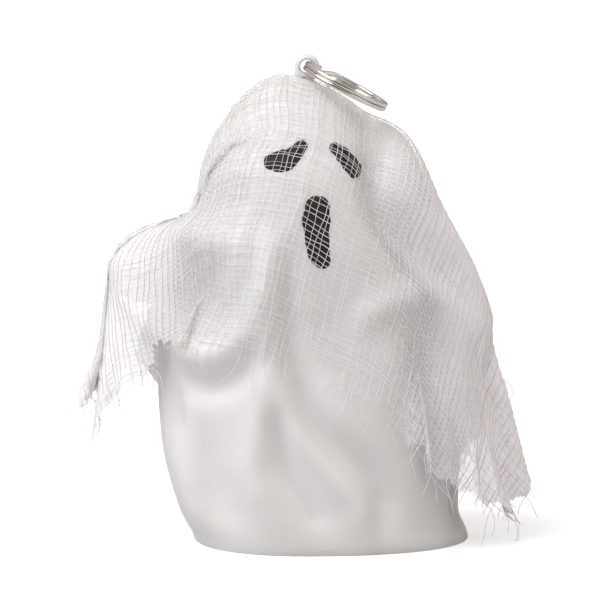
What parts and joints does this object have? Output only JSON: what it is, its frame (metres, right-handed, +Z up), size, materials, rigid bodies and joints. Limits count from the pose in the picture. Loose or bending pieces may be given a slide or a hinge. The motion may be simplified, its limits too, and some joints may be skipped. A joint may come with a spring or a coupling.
{
  "type": "hanging ghost lamp decoration",
  "caption": "Moulded sheet-ghost lamp with a gauze drape, printed face, hanging ring, and a base with switch and battery bay.",
  "frame": {"origin": "on the flat base, straight under the hanging lug", "axes": "+Z up through the hanging lug, -Y the way the face looks, +X to the side on which the ring lies"},
  "size_m": [0.1224, 0.0797, 0.1309],
  "materials": {
    "moulded_white": "satin, slightly translucent",
    "face_print": "matt ink",
    "ring_chrome": "bright nickel plate",
    "white_gauze": "open plain weave, frayed",
    "base_plastic": "fine matt",
    "screw_steel": "zinc plated",
    "cell_steel": "bright",
    "contact_nickel": "nickel plated",
    "switch_case": "pressed",
    "switch_knob": "matt",
    "board_green": "solder resist",
    "lamp_lens": "clear resin",
    "resistor_beige": "lacquer",
    "red_insulation": "smooth",
    "black_insulation": "smooth",
    "cover_plastic": "fine matt"
  },
  "bodies": {
    "ghost": {"ghost_shell": "moulded_white", "hanging_lug": "moulded_white", "left_eye": "face_print", "right_eye": "face_print", "mouth": "face_print", "gauze_drape": "white_gauze", "base_housing": "base_plastic", "cover_screw_front": "screw_steel", "cover_screw_back": "screw_steel", "battery_cell_1": "cell_steel", "battery_cell_2": "cell_steel", "battery_cell_3": "cell_steel", "contact_plate": "contact_nickel", "contact_spring": "contact_nickel", "switch_body": "switch_case", "circuit_board": "board_green", "led_bulb": "lamp_lens", "resistor": "resistor_beige", "wire_red": "red_insulation", "wire_black": "black_insulation", "module_cover": "cover_plastic"},
    "ring": {"split_ring": "ring_chrome"},
    "slider": {"switch_slider": "switch_knob"},
    "door": {"battery_door": "base_plastic"},
    "screw": {"door_screw": "screw_steel"}
  },
  "joints": [
    {"name": "ring_swing", "type": "hinge", "parent": "ghost", "child": "ring", "pos_m": [0, 0, 0.1276], "axis": [0, -1, 0], "range_deg": [0, 200]},
    {"name": "switch_slide", "type": "slide", "parent": "ghost", "child": "slider", "axis": [1, 0, 0], "range_m": [0, 0.0022]},
    {"name": "door_lift", "type": "slide", "parent": "ghost", "child": "door", "axis": [0, 0, -1], "range_m": [0, 0.02]},
    {"name": "door_screw_turn", "type": "hinge", "parent": "door", "child": "screw", "pos_m": [0.03265, 0.002, 0.0003], "axis": [0, 0, -1], "continuous": true}
  ]
}
